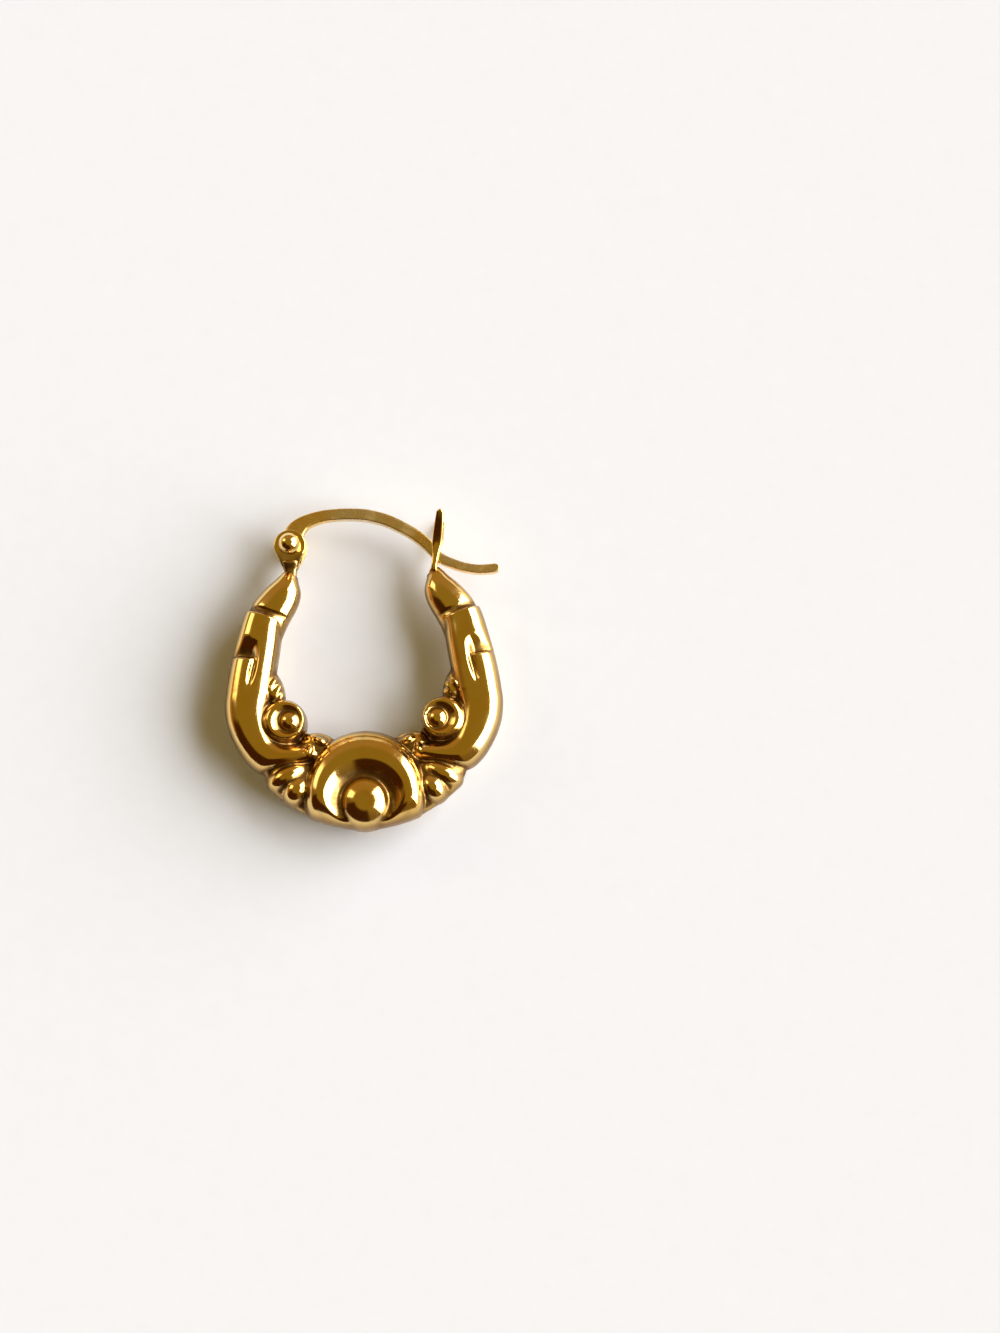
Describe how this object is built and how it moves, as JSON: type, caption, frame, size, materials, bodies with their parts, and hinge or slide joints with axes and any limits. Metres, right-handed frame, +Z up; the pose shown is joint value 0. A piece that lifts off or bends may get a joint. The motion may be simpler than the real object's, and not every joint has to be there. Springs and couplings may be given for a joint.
{
  "type": "hoop earring",
  "caption": "Puffed creole hoop earring with scroll relief, a hinged flat ear wire and an open fork catch, lying on its side.",
  "frame": {"origin": "under the middle of the earring's outline, on the surface that it lies on", "axes": "+Y from the boss towards the ear wire, +X across the hoop towards the catch, +Z up through its thickness"},
  "size_m": [0.0192, 0.0224, 0.0041],
  "materials": {
    "hoop_gold": "polished yellow gold",
    "rivet_gold": "polished yellow gold",
    "wire_gold": "worn yellow gold"
  },
  "bodies": {
    "hoop": {"hoop_body": "hoop_gold", "hinge_rivet": "rivet_gold"},
    "ear_wire": {"ear_wire": "wire_gold"}
  },
  "joints": [
    {"name": "wire_hinge", "type": "hinge", "parent": "hoop", "child": "ear_wire", "pos_m": [-0.00507, 0.00861, 0.00205], "axis": [0, 0, 1], "range_deg": [0, 75]}
  ]
}
